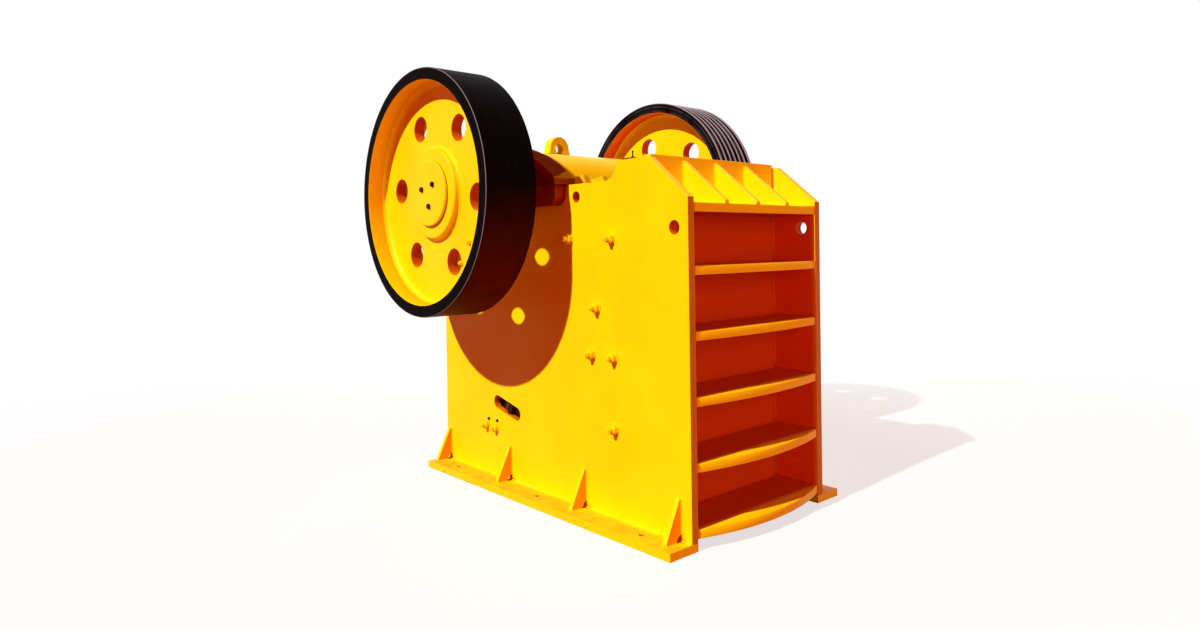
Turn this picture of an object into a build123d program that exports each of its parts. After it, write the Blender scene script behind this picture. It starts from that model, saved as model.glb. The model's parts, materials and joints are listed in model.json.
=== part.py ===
from build123d import *
import os
from math import cos, radians, sin, tan

os.makedirs("parts", exist_ok=True)

# Single-toggle jaw crusher, 600 by 900 mm feed opening, all sizes in millimetres.
# X runs along the shaft, the feed end faces -Y and Z is up from the floor.
# The origin is the centre of the base bolt pattern, on the floor.
# Distances named ..._y are measured back from the front edge of the side plates.

# Frame
frame_length = 2260.0
plate_t = 45.0
flange_t = 42.0
flange_width = 195.0
front_corner_z = 1700.0
shoulder_z = 1911.0
cap_seat_z = 1811.0
slope_run = 262.0
shoulder_end_y = 500.0
shoulder_radius = 100.0

# Base bolts, three in each flange
anchor_hole_r = 16.0
anchor_inset = 75.0
anchor_spacing_y = 860.0

# Gusset plates between each side plate and its flange
gusset_count = 4
gusset_first_y = 80.0
gusset_rear_margin = 16.0
gusset_t = 28.0
gusset_height = 208.0
gusset_reach = 106.0
gusset_tip = 14.0
gusset_cope_r = 34.0

# Lifting holes through both side plates
front_lift_y = 91.0
front_lift_z = 1554.0
front_lift_r = 35.0
rear_lift_y = 835.0
rear_lift_z = 1739.0
rear_lift_r = 31.0

# Inclined slot that carries the toggle block
slot_y = 1539.0
slot_z = 477.0
slot_length = 288.0
slot_height = 80.0
toggle_slope = 13.5

# Front wall and the six shelves that stiffen it
wall_y = 290.0
wall_t = 50.0
wall_top_z = 1930.0
shelf_t = 44.0
shelf_setback = 4.0
shelf_tops = [1673.0, 1368.0, 1052.0, 736.0, 420.0, 103.0]
shelf_bows = [0.0, 12.0, 30.0, 50.0, 70.0, 92.0]
rib_t = 30.0
rib_pitch = 250.0
rib_count = 3
rib_toe = 17.0

# Rear wall and its shelves
rear_wall_y = 1760.0
rear_wall_t = 50.0
rear_wall_low_z = 130.0
rear_wall_top_z = 1000.0
rear_shelf_tops = [1000.0, 700.0, 400.0]
rear_shelf_setback = 24.0

# Shaft and bearings
shaft_y = 1588.0
shaft_z = 1785.0
eccentricity = 12.0
eccentric_r = 130.0
barrel_end_gap = 2.0
journal_r = 110.0
wheel_seat_r = 100.0
running_gap = 0.05
housing_r = 240.0
housing_gap = 0.3
housing_out = 75.0
cap_out = 100.0
cap_arch_r = 1116.0
cap_arch_top_z = 2088.0
cap_arch_t = 42.0
cap_front_y = 895.0
cap_rear_y = 2250.0
seat_front_y = 925.0
seat_depth = 111.0
seat_corner_r = 62.0

# Flywheel and belt sheave
wheel_r = 713.0
wheel_reach = 552.0
wheel_width = 317.0
rim_t = 70.0
rim_edge = 6.0
web_recess = 122.0
web_t = 66.0
spoke_holes = 6
spoke_hole_r = 77.0
spoke_circle_r = 436.0
flywheel_turn = 5.1
sheave_turn = 9.2
hub_r = 262.0
hub_recess = 85.0
inner_hub_r = 180.0
inner_hub_gap = 23.0
end_cap_r = 190.0
end_cap_t = 20.0
groove_count = 6
groove_pitch = 49.0
groove_depth = 28.0
groove_top = 38.0
groove_bottom = 20.0

# Crushing chamber
feed_width = 900.0
gape = 600.0
jaw_low_z = 430.0
jaw_top_z = 1890.0
nip_angle = 20.0
jaw_base_t = 45.0
tooth_height = 60.0
tooth_count = 6
tooth_crest = 34.0
tooth_root = 26.0
tooth_round = 11.0
fixed_jaw_top_z = 1850.0
jaw_foot_h = 50.0
jaw_foot_reach = 50.0
jaw_clamp_h = 58.0
jaw_clamp_t = 45.0
cheek_t = 42.0
cheek_side_gap = 8.0
cheek_low_z = 430.0
cheek_split_z = 1000.0
cheek_top_z = 1690.0
cheek_joint = 2.0
cheek_overlap = 60.0

# Pitman, the moving jaw's casting
pitman_side_gap = 8.0
barrel_r = 300.0
pitman_skin = 60.0
pitman_web_t = 44.0
pitman_web_count = 4
pitman_low_z = 300.0
pitman_toe_y = 975.0
pitman_toe_top_z = 560.0
pitman_back_y = 1838.0
pitman_back_z = 1640.0
jaw_rise = 40.0
rod_lug_y = 880.0
rod_lug_length = 65.0
rod_lug_drop = 105.0
rod_lug_t = 25.0
rod_lug_gap = 54.0
barrel_end_t = 14.0
barrel_end_r = 215.0
moving_gap = 8.0
eye_x = -91.0
eye_r = 76.0
eye_hole_r = 32.0
eye_rise = 36.0
eye_t = 66.0
eye_foot = 106.0

# Toggle and adjusting gear
toggle_t = 45.0
toggle_width = 760.0
block_front_y = 1422.0
block_height = 150.0
block_side_gap = 6.0
trunnion_r = 30.0
trunnion_depth = 26.0
bracket_top_z = 390.0
bracket_t = 60.0
bracket_depth = 160.0
thrust_front_y = 1632.0
thrust_end_t = 24.0
thrust_mid_t = 54.0
wedge_gap = 40.0
wedge_side_gap = 20.0
wedge_height = 160.0
rod_r = 20.0
rod_z = 230.0
rod_eye_y = 1012.0
rod_eye_r = 36.0
rod_eye_hole_r = 16.0
rod_eye_t = 44.0
rod_end_y = 2160.0
spring_r = 48.0
spring_length = 190.0
washer_t = 16.0
washer_r = 60.0
nut_r = 34.0
nut_t = 32.0

# Worked-out places
inner = feed_width / 2 + cheek_t + cheek_side_gap
outer = inner + plate_t
flange_edge = inner + flange_width
anchor_x = flange_edge - anchor_inset
gusset_run = frame_length - gusset_first_y - gusset_rear_margin - gusset_t
shaft_at = (shaft_y - frame_length / 2, shaft_z)
eccentric_at = (shaft_at[0], shaft_z - eccentricity)
fixed_crest_y = wall_y + wall_t + jaw_base_t + tooth_height
swing_crest_y = fixed_crest_y + gape
pitman_half = feed_width / 2 - pitman_side_gap
barrel_end = pitman_half + barrel_end_t
inner_hub_end = outer + cap_out + inner_hub_gap
wheel_face = outer + wheel_reach
lean = tan(radians(nip_angle))
tooth_pitch = feed_width / tooth_count
jaw_t = jaw_base_t + tooth_height
jaw_length = (jaw_top_z - jaw_low_z) / cos(radians(nip_angle))
wall_back_y = wall_y + wall_t


def row(distance):
    """Row Y of a place measured back from the front edge."""
    return distance - frame_length / 2


def block(x0, x1, y0, y1, z0, z1):
    """Box between three pairs of limits, with y measured from the front edge."""
    size = Box(x1 - x0, y1 - y0, z1 - z0)
    return Pos((x0 + x1) / 2, row((y0 + y1) / 2), (z0 + z1) / 2) * size


def plate_yz(points, x0, x1):
    """Plate across X from an outline of (distance from front, height) points."""
    outline = [(row(a), b) for a, b in points]
    face = make_face(Polyline(*outline, close=True))
    return extrude(Plane.YZ.offset(x0) * face, x1 - x0)


def rod_x(radius, x0, x1, y, z):
    """Round bar along X about a point given in row Y and Z."""
    bar = Cylinder(radius, x1 - x0, rotation=(0, 90, 0))
    return Pos((x0 + x1) / 2, y, z) * bar


def rod_y(radius, y0, y1, x, z):
    """Round bar along Y between two distances from the front edge."""
    bar = Cylinder(radius, y1 - y0, rotation=(90, 0, 0))
    return Pos(x, row((y0 + y1) / 2), z) * bar


def save(name, shape):
    export_step(shape, f"parts/{name}.step")


def mirrored(shape):
    """The same piece on the other side of the machine."""
    return mirror(shape, about=Plane.YZ)


def save_pair(stem, left_piece):
    save(f"{stem}_left", left_piece)
    save(f"{stem}_right", mirrored(left_piece))


def save_both(name, left_piece):
    save(name, Compound([left_piece, mirrored(left_piece)]))


def swing_y(z):
    """Distance from the front of the moving jaw's crests at a height."""
    return swing_crest_y - (jaw_top_z - z) * lean


def jaw_point(along, depth):
    """Point of the moving jaw, down its length from the top and behind its crests."""
    lean_angle = radians(nip_angle)
    y = swing_crest_y - along * sin(lean_angle) + depth * cos(lean_angle)
    z = jaw_top_z - along * cos(lean_angle) - depth * sin(lean_angle)
    return (y, z)


def toggle_point(forward, up):
    """Point beside the toggle line, measured from the middle of the slot."""
    slope = radians(toggle_slope)
    y = slot_y + forward * cos(slope) - up * sin(slope)
    z = slot_z + forward * sin(slope) + up * cos(slope)
    return (y, z)


def toggle_box(f0, f1, u0, u1, x0, x1):
    corners = [toggle_point(f0, u0), toggle_point(f1, u0), toggle_point(f1, u1), toggle_point(f0, u1)]
    return plate_yz(corners, x0, x1)


def side_plate():
    corner_y = shoulder_end_y + shoulder_radius
    outline = [
        (0, flange_t),
        (frame_length, flange_t),
        (frame_length, cap_seat_z),
        (corner_y, cap_seat_z),
        (shoulder_end_y, cap_seat_z),
        (shoulder_end_y, shoulder_z),
        (slope_run, shoulder_z),
        (0, front_corner_z),
    ]
    plate = plate_yz(outline, -outer, -inner)
    # the shoulder falls to the bearing seat in a hollow curve
    fill = block(-outer, -inner, shoulder_end_y, corner_y, cap_seat_z, shoulder_z)
    hollow = rod_x(shoulder_radius, -outer, -inner, row(corner_y), shoulder_z)
    plate += fill - hollow
    plate -= rod_x(housing_r, -outer, -inner, *shaft_at)
    mouth = block(-outer, -inner, shaft_y - housing_r, shaft_y + housing_r, shaft_z, cap_seat_z)
    plate -= mouth
    plate -= rod_x(front_lift_r, -outer, -inner, row(front_lift_y), front_lift_z)
    plate -= rod_x(rear_lift_r, -outer, -inner, row(rear_lift_y), rear_lift_z)
    slot = SlotOverall(slot_length, slot_height, rotation=toggle_slope)
    slot_at = Plane.YZ.offset(-outer) * Pos(row(slot_y), slot_z) * slot
    return plate - extrude(slot_at, plate_t)


def base_flange():
    flange = block(-flange_edge, -inner, 0, frame_length, 0, flange_t)
    for step in (-1, 0, 1):
        hole = Cylinder(anchor_hole_r, flange_t)
        flange -= Pos(-anchor_x, step * anchor_spacing_y, flange_t / 2) * hole
    return flange


def base_gussets():
    top_z = flange_t + gusset_height
    outline = [
        (-outer, flange_t),
        (-outer, top_z),
        (-outer - gusset_tip, top_z),
        (-outer - gusset_reach, flange_t + gusset_tip),
        (-outer - gusset_reach, flange_t),
    ]
    face = make_face(Polyline(*outline, close=True))
    face -= Pos(-outer, flange_t) * Circle(gusset_cope_r)
    pieces = []
    for index in range(gusset_count):
        y = row(gusset_first_y + index * gusset_run / (gusset_count - 1) + gusset_t / 2)
        pieces.append(extrude(Plane.XZ.offset(-y) * face, gusset_t))
    return Compound(pieces)


def front_shelf(top_z, bow):
    left = (-inner, row(shelf_setback))
    right = (inner, row(shelf_setback))
    if bow > 0:
        front = ThreePointArc(left, (0, row(shelf_setback - bow)), right)
    else:
        front = Line(left, right)
    back = Polyline(right, (inner, row(wall_y)), (-inner, row(wall_y)), left)
    face = make_face(front + back)
    return extrude(Plane.XY.offset(top_z - shelf_t) * face, shelf_t)


def top_ribs():
    base_z = shelf_tops[0]
    outline = [
        (shelf_setback, base_z),
        (shelf_setback, base_z + rib_toe),
        (wall_y, shoulder_z),
        (wall_y, base_z),
    ]
    pieces = []
    for index in range(rib_count):
        x = (index - (rib_count - 1) / 2) * rib_pitch
        pieces.append(plate_yz(outline, x - rib_t / 2, x + rib_t / 2))
    return Compound(pieces)


def rear_wall():
    wall = block(-inner, inner, rear_wall_y, rear_wall_y + rear_wall_t, rear_wall_low_z, rear_wall_top_z)
    return wall - rod_y(rod_r + housing_gap, rear_wall_y, rear_wall_y + rear_wall_t, 0, rod_z)


def rear_shelf(top_z):
    back_y = frame_length - rear_shelf_setback
    return block(-inner, inner, rear_wall_y + rear_wall_t, back_y, top_z - shelf_t, top_z)


def tooth_section(offset):
    """Corrugated section across X, with its flat back on y = 0 and its crests at +y."""
    half = feed_width / 2
    flank = (tooth_pitch - tooth_crest - tooth_root) / 2
    points = []
    for index in range(-1, tooth_count + 1):
        centre = -half + (index + 0.5 + offset) * tooth_pitch
        points.append((centre - tooth_crest / 2 - flank, jaw_base_t))
        points.append((centre - tooth_crest / 2, jaw_t))
        points.append((centre + tooth_crest / 2, jaw_t))
        points.append((centre + tooth_crest / 2 + flank, jaw_base_t))
    corners = [*points, (points[-1][0], 0), (points[0][0], 0)]
    wave = make_face(Polyline(*corners, close=True))
    tips = [v for v in wave.vertices() if v.Y > jaw_base_t / 2 and abs(v.X) < half + tooth_pitch / 2]
    wave = fillet(tips, tooth_round)
    return wave & Pos(0, jaw_t / 2) * Rectangle(feed_width, jaw_t)


def fixed_jaw_plate():
    place = Plane.XY.offset(jaw_low_z) * Pos(0, row(wall_back_y))
    return extrude(place * tooth_section(0), fixed_jaw_top_z - jaw_low_z)


def swing_jaw_plate():
    y, z = jaw_point(0, jaw_t)
    down = (0, -sin(radians(nip_angle)), -cos(radians(nip_angle)))
    place = Plane((0, row(y), z), x_dir=(1, 0, 0), z_dir=down)
    return extrude(place * tooth_section(0.5), jaw_length)


def jaw_box(a0, a1, d0, d1, half_width):
    corners = [jaw_point(a0, d0), jaw_point(a1, d0), jaw_point(a1, d1), jaw_point(a0, d1)]
    return plate_yz(corners, -half_width, half_width)


def cheek(low_z, top_z):
    """One plate of a side's lining, kept clear of the fixed jaw by a joint."""
    front_y = wall_back_y + cheek_joint
    outline = [
        (front_y, low_z),
        (front_y, top_z),
        (swing_y(top_z) + cheek_overlap, top_z),
        (swing_y(low_z) + cheek_overlap, low_z),
    ]
    return plate_yz(outline, -inner, -inner + cheek_t)


def housing_block(x_out):
    """Round boss of the bearing housing, from the plate's inner face outwards."""
    boss = rod_x(housing_r - housing_gap, -x_out, -inner, *shaft_at)
    return boss - rod_x(journal_r + running_gap, -x_out, -inner, *shaft_at)


def bearing_seat():
    low_z = shaft_z - housing_r
    x_out = outer + housing_out
    lower_half = block(-x_out, -inner, shaft_y - housing_r, shaft_y + housing_r, low_z, shaft_z)
    seat = housing_block(x_out) & lower_half
    wing = block(-x_out, -outer, seat_front_y, cap_rear_y, cap_seat_z - seat_depth, cap_seat_z)
    corner = wing.edges().filter_by(Axis.X).group_by(Axis.Z)[0].sort_by(Axis.Y)[0]
    wing = fillet(corner, seat_corner_r)
    wing -= rod_x(housing_r - housing_gap, -x_out, -outer, *shaft_at)
    register = block(-x_out, -inner, shaft_y - housing_r, shaft_y + housing_r, shaft_z, cap_seat_z)
    return seat + (wing - register)


def bearing_cap():
    x_out = outer + housing_out
    upper_half = block(
        -x_out, -inner, shaft_y - housing_r, shaft_y + housing_r, shaft_z, shaft_z + housing_r
    )
    cap = housing_block(x_out) & upper_half
    centre_z = cap_arch_top_z - cap_arch_r
    window = block(-outer - cap_out, -inner, cap_front_y, cap_rear_y, cap_seat_z, cap_arch_top_z)
    solid = rod_x(cap_arch_r, -outer - cap_out, -inner, shaft_at[0], centre_z)
    hollow = rod_x(cap_arch_r - cap_arch_t, -outer - cap_out, -outer, shaft_at[0], centre_z)
    arch = (solid - hollow) & window
    bore = rod_x(journal_r + running_gap, -outer - cap_out, -inner, *shaft_at)
    return cap + (arch - bore)


def pitman_outline():
    """Side view of the casting, without its barrel."""
    skin_low = (jaw_point(0, jaw_t)[1] - pitman_low_z) / cos(radians(nip_angle))
    top_back = jaw_point(jaw_rise, jaw_t + pitman_skin)
    return [
        jaw_point(jaw_rise, jaw_t),
        top_back,
        (shaft_y, top_back[1]),
        (pitman_back_y, pitman_back_z),
        (pitman_toe_y, pitman_toe_top_z),
        (pitman_toe_y, pitman_low_z),
        jaw_point(skin_low, jaw_t),
    ]


def pitman():
    half = pitman_half
    outline = pitman_outline()
    top_front, top_back = outline[:2]
    low_front = outline[-1]
    skin_low = (jaw_point(0, jaw_t)[1] - pitman_low_z) / cos(radians(nip_angle))
    body = jaw_box(jaw_rise, skin_low, jaw_t, jaw_t + pitman_skin, half)
    body += rod_x(barrel_r, -half, half, *eccentric_at)
    body += rod_x(barrel_end_r, -barrel_end, barrel_end, *eccentric_at)
    nose = [
        top_front,
        top_back,
        (shaft_y, top_back[1]),
        (shaft_y, top_back[1] - pitman_skin),
        (jaw_point(jaw_rise + pitman_skin, jaw_t)[0], top_back[1] - pitman_skin),
    ]
    body += plate_yz(nose, -half, half)
    toe = [
        low_front,
        (pitman_toe_y, pitman_low_z),
        (pitman_toe_y, pitman_toe_top_z),
        (swing_y(pitman_toe_top_z) + jaw_t / cos(radians(nip_angle)), pitman_toe_top_z),
    ]
    body += plate_yz(toe, -half, half)
    body += jaw_box(jaw_length, jaw_length + jaw_foot_h, jaw_t - jaw_foot_reach, jaw_t, half)
    lug = block(
        rod_lug_gap / 2,
        rod_lug_gap / 2 + rod_lug_t,
        rod_lug_y,
        rod_lug_y + rod_lug_length,
        pitman_low_z - rod_lug_drop,
        pitman_low_z,
    )
    body += lug
    body += mirrored(lug)
    return body - rod_x(eccentric_r + running_gap, -barrel_end, barrel_end, *eccentric_at)


def pitman_webs(casting):
    """Upright ribs that tie the barrel to the back of the casting's plate."""
    pitch = (2 * pitman_half - pitman_web_t) / (pitman_web_count - 1)
    barrel = rod_x(barrel_r, -pitman_half, pitman_half, *eccentric_at)
    webs = []
    for index in range(pitman_web_count):
        x = index * pitch - pitman_half
        web = plate_yz(pitman_outline(), x, x + pitman_web_t) - barrel - casting
        webs.append(web.solids().sort_by(SortBy.VOLUME)[-1])
    return Compound(webs)


def lifting_eye():
    top_z = eccentric_at[1] + barrel_r + eye_rise
    outline = Pos(eye_x, top_z) * Circle(eye_r)
    foot = Polyline(
        (eye_x - eye_r, top_z),
        (eye_x + eye_r, top_z),
        (eye_x + eye_foot, top_z - eye_foot),
        (eye_x - eye_foot, top_z - eye_foot),
        close=True,
    )
    outline += make_face(foot)
    outline -= Pos(eye_x, top_z) * Circle(eye_hole_r)
    back_y = eccentric_at[0] + eye_t / 2
    lug = extrude(Plane.XZ.offset(-back_y) * outline, eye_t)
    return lug - rod_x(barrel_r + housing_gap, -pitman_half, pitman_half, *eccentric_at)


def eccentric_shaft():
    end = wheel_face - hub_recess
    shaft = rod_x(wheel_seat_r, -end, end, *shaft_at)
    shaft += rod_x(journal_r, -inner_hub_end, inner_hub_end, *shaft_at)
    eccentric_end = barrel_end + barrel_end_gap
    return shaft + rod_x(eccentric_r, -eccentric_end, eccentric_end, *eccentric_at)


def turned(outline):
    """Ring turned about the shaft from an outline of (depth behind the wheel's face, radius) points."""
    face = make_face(Polyline(*outline, close=True))
    return Pos(-wheel_face, *shaft_at) * revolve(face, Axis.X)


def wheel_web(turn):
    """Dished plate of a wheel, with its hub and the round holes that lighten it."""
    rim_in = wheel_r - rim_t
    web_in = web_recess + web_t
    hub_end = wheel_face - inner_hub_end
    bore = wheel_seat_r + running_gap
    outline = [
        (web_recess, rim_in),
        (web_in, rim_in),
        (web_in, inner_hub_r),
        (hub_end, inner_hub_r),
        (hub_end, bore),
        (hub_recess, bore),
        (hub_recess, hub_r),
        (web_recess, hub_r),
    ]
    web = turned(outline)
    for index in range(spoke_holes):
        angle = radians(turn + index * 360 / spoke_holes)
        y = shaft_at[0] + spoke_circle_r * cos(angle)
        z = shaft_at[1] + spoke_circle_r * sin(angle)
        web -= rod_x(spoke_hole_r, -wheel_face + web_recess, -wheel_face + web_in, y, z)
    return web


def wheel_rim(face_line):
    rim_in = wheel_r - rim_t
    return turned([(0, rim_in), *face_line, (wheel_width, rim_in)])


def plain_face():
    return [
        (0, wheel_r - rim_edge),
        (rim_edge, wheel_r),
        (wheel_width - rim_edge, wheel_r),
        (wheel_width, wheel_r - rim_edge),
    ]


def grooved_face():
    points = [(0, wheel_r)]
    for index in range(groove_count):
        middle = wheel_width / 2 + groove_pitch * (index - (groove_count - 1) / 2)
        points.append((middle - groove_top / 2, wheel_r))
        points.append((middle - groove_bottom / 2, wheel_r - groove_depth))
        points.append((middle + groove_bottom / 2, wheel_r - groove_depth))
        points.append((middle + groove_top / 2, wheel_r))
    points.append((wheel_width, wheel_r))
    return points


def hub_cap():
    start = -wheel_face + hub_recess
    return rod_x(end_cap_r, start - end_cap_t, start, *shaft_at)


def toggle_block():
    """Block between the side plates, square to the toggle plate in front and upright behind."""
    slope = radians(toggle_slope)
    up = block_height / 2
    front = (block_front_y - slot_y) / cos(slope)
    rear_low = (thrust_front_y - slot_y - up * sin(slope)) / cos(slope)
    rear_top = (thrust_front_y - slot_y + up * sin(slope)) / cos(slope)
    half = inner - block_side_gap
    outline = [
        toggle_point(front, -up),
        toggle_point(rear_low, -up),
        toggle_point(rear_top, up),
        toggle_point(front, up),
    ]
    body = plate_yz(outline, -half, half)
    seat_up = trunnion_r + housing_gap - slot_height / 2
    y, z = toggle_point(0, seat_up)
    return body + rod_x(trunnion_r, -inner - trunnion_depth, inner + trunnion_depth, row(y), z)


def toggle_plate():
    slope = radians(toggle_slope)
    rear = (block_front_y - slot_y) / cos(slope)
    gap = eccentricity + moving_gap + toggle_t / 2 * sin(slope)
    front = (pitman_toe_y + gap - slot_y) / cos(slope)
    return toggle_box(front, rear, -toggle_t / 2, toggle_t / 2, -toggle_width / 2, toggle_width / 2)


def wedge_bracket():
    top = bracket_top_z
    return block(-inner, inner, rear_wall_y - bracket_depth, rear_wall_y, top - bracket_t, top)


def thrust_block():
    half = inner - wedge_side_gap
    outline = [
        (-half, row(thrust_front_y)),
        (half, row(thrust_front_y)),
        (half, row(thrust_front_y + thrust_end_t)),
        (0, row(thrust_front_y + thrust_mid_t)),
        (-half, row(thrust_front_y + thrust_end_t)),
    ]
    face = make_face(Polyline(*outline, close=True))
    return extrude(Plane.XY.offset(bracket_top_z) * face, wedge_height)


def adjusting_wedge():
    half = inner - wedge_side_gap
    taper = (thrust_mid_t - thrust_end_t) / half
    start = wedge_gap / 2
    outline = [
        (-half, row(thrust_front_y + thrust_end_t)),
        (-start, row(thrust_front_y + thrust_mid_t - taper * start)),
        (-start, row(rear_wall_y)),
        (-half, row(rear_wall_y)),
    ]
    face = make_face(Polyline(*outline, close=True))
    return extrude(Plane.XY.offset(bracket_top_z) * face, wedge_height)


def tension_rod():
    """Rod with its front eye, and with the washer and nut that hold the spring."""
    rod = rod_y(rod_r, rod_eye_y, rod_end_y, 0, rod_z)
    washer_y = rear_wall_y + rear_wall_t + spring_length
    nut_y = washer_y + washer_t
    rod += rod_y(washer_r, washer_y, nut_y, 0, rod_z)
    rod += rod_y(nut_r, nut_y, nut_y + nut_t, 0, rod_z)
    rod += rod_x(rod_eye_r, -rod_eye_t / 2, rod_eye_t / 2, row(rod_eye_y), rod_z)
    return rod - rod_x(rod_eye_hole_r, -rod_eye_t / 2, rod_eye_t / 2, row(rod_eye_y), rod_z)


def tension_spring():
    start_y = rear_wall_y + rear_wall_t
    coil = rod_y(spring_r, start_y, start_y + spring_length, 0, rod_z)
    return coil - rod_y(rod_r + housing_gap, start_y, start_y + spring_length, 0, rod_z)


save_pair("side_plate", side_plate())
save_pair("base_flange", base_flange())
save_pair("base_gussets", base_gussets())
save("front_wall", block(-inner, inner, wall_y, wall_back_y, flange_t, wall_top_z))
for number, (top_z, bow) in enumerate(zip(shelf_tops, shelf_bows), start=1):
    save(f"front_shelf_{number}", front_shelf(top_z, bow))
save("top_ribs", top_ribs())
save("rear_wall", rear_wall())
save("rear_shelves", Compound([rear_shelf(top_z) for top_z in rear_shelf_tops]))
save("fixed_jaw_plate", fixed_jaw_plate())
half_feed = feed_width / 2
foot_y = wall_back_y + jaw_foot_reach
foot = block(-half_feed, half_feed, wall_back_y, foot_y, jaw_low_z - jaw_foot_h, jaw_low_z)
clamp_y = wall_back_y + jaw_clamp_t
clamp_top = fixed_jaw_top_z + jaw_clamp_h
clamp = block(-half_feed, half_feed, wall_back_y, clamp_y, fixed_jaw_top_z, clamp_top)
save("fixed_jaw_bars", Compound([foot, clamp]))
upper_cheek = cheek(cheek_split_z + cheek_joint, cheek_top_z)
save_pair("cheek_plates", Compound([cheek(cheek_low_z, cheek_split_z), upper_cheek]))
save_pair("bearing_seat", bearing_seat())
save_pair("bearing_cap", bearing_cap())
save("eccentric_shaft", eccentric_shaft())
save("flywheel_rim", wheel_rim(plain_face()))
save("flywheel_web", wheel_web(flywheel_turn))
save("sheave_rim", mirrored(wheel_rim(grooved_face())))
save("sheave_web", mirrored(wheel_web(sheave_turn)))
save_both("hub_caps", hub_cap())
pitman_casting = pitman()
save("pitman", pitman_casting)
save("pitman_webs", pitman_webs(pitman_casting))
save("lifting_eye", lifting_eye())
save("swing_jaw_plate", swing_jaw_plate())
save("swing_jaw_wedge", jaw_box(0, jaw_rise, jaw_t, jaw_t + pitman_skin, pitman_half))
save("toggle_block", toggle_block())
save("toggle_plate", toggle_plate())
save("wedge_bracket", wedge_bracket())
save("thrust_block", thrust_block())
save_both("adjusting_wedges", adjusting_wedge())
save("tension_rod", tension_rod())
save("tension_spring", tension_spring())
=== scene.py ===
import json
import math

import bpy
from mathutils import Matrix, Vector


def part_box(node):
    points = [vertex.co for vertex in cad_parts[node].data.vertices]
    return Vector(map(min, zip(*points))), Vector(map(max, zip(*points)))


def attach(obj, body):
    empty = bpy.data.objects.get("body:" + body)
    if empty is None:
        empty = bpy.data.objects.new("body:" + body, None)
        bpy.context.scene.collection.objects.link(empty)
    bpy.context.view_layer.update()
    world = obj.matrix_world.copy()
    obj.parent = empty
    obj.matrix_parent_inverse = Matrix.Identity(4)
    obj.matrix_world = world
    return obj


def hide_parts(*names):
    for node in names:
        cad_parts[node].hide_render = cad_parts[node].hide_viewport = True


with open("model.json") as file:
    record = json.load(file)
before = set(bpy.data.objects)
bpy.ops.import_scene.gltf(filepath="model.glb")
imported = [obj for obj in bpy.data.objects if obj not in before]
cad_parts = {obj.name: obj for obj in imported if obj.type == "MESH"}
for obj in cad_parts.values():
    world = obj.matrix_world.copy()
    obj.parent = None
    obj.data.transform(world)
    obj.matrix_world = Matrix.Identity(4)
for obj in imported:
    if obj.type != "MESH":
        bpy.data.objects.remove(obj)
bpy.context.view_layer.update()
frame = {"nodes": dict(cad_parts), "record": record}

nodes = frame["nodes"]
bodyOf = {name: body for body, members in frame["record"]["behaviour"]["bodies"].items() for name in members}
slotOf = {part["node"]: part["material_slot"] for part in frame["record"]["subparts"]}

# the photograph's frame and the camera that fits it, in metres and degrees
photo = {"width": 1200, "height": 630}
cameraFit = {
    "place": (-3.3008, -3.6911, 1.4773),
    "azimuth": -42.618,
    "elevation": 0.517,
    "roll": -0.8085,
    "focalPixels": 793.05,
    "axisPixel": (626.04, 251.16),
    "sensor": 36.0,
    "clip": (0.05, 100.0),
}


def tone(hexText):
    # #rrggbb in sRGB to linear
    channels = []
    for start in (1, 3, 5):
        value = int(hexText[start:start + 2], 16) / 255
        channels.append(value / 12.92 if value <= 0.04045 else ((value + 0.055) / 1.055) ** 2.4)
    return (*channels, 1.0)


def put(tree, kind, values=None, links=None, **settings):
    # adds a shader node with its settings, socket values and links; a linked node gives its first output
    node = tree.nodes.new("ShaderNode" + kind)
    for key, value in settings.items():
        setattr(node, key, value)
    for key, value in (values or {}).items():
        node.inputs[key].default_value = value
    for key, source in (links or {}).items():
        tree.links.new(source.outputs[0] if hasattr(source, "outputs") else source, node.inputs[key])
    return node


def clouds(sizeMm, detail):
    # noise settings for patches of about this size
    return {"Scale": 1000 / sizeMm, "Detail": detail}


def span(low, high, toLow=0.0, toHigh=1.0):
    # map range settings from low..high to toLow..toHigh
    return {"From Min": low, "From Max": high, "To Min": toLow, "To Max": toHigh}


# small hand tools
def deselect():
    if bpy.context.object and bpy.context.object.mode != "OBJECT":
        bpy.ops.object.mode_set(mode="OBJECT")
    bpy.ops.object.select_all(action="DESELECT")


def pick(*objects):
    deselect()
    for each in objects:
        each.select_set(True)
    bpy.context.view_layer.objects.active = objects[-1]


def chosen(piece, kind, test):
    # enters edit mode with only the vertices or faces that pass the test selected
    pick(piece)
    bpy.ops.object.mode_set(mode="EDIT")
    bpy.ops.mesh.select_mode(type=kind)
    bpy.ops.mesh.select_all(action="DESELECT")
    bpy.ops.object.mode_set(mode="OBJECT")
    items = piece.data.vertices if kind == "VERT" else piece.data.polygons
    for item in items:
        item.select = test(item)
    bpy.ops.object.mode_set(mode="EDIT")


def done():
    bpy.ops.object.mode_set(mode="OBJECT")
    return bpy.context.object


def settle(piece):
    # place, turn and size go into the mesh
    pick(piece)
    bpy.ops.object.transform_apply(location=True, rotation=True, scale=True)
    return piece


def applied(piece):
    pick(piece)
    for modifier in list(piece.modifiers):
        bpy.ops.object.modifier_apply(modifier=modifier.name)
    return piece


def copyOf(piece, place=(0, 0, 0), turn=None):
    twin = piece.copy()
    twin.data = piece.data.copy()
    bpy.context.scene.collection.objects.link(twin)
    twin.location = place
    if turn is not None:
        twin.rotation_euler = turn
    return settle(twin)


def joined(name, parts):
    pick(*parts)
    if len(parts) > 1:
        bpy.ops.object.join()
    piece = bpy.context.view_layer.objects.active
    piece.name = name
    piece.data.name = name
    return piece


def turnTo(direction):
    # turns a piece modelled along +Z to point along direction
    return Vector(direction).to_track_quat("Z", "Y").to_euler()


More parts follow.
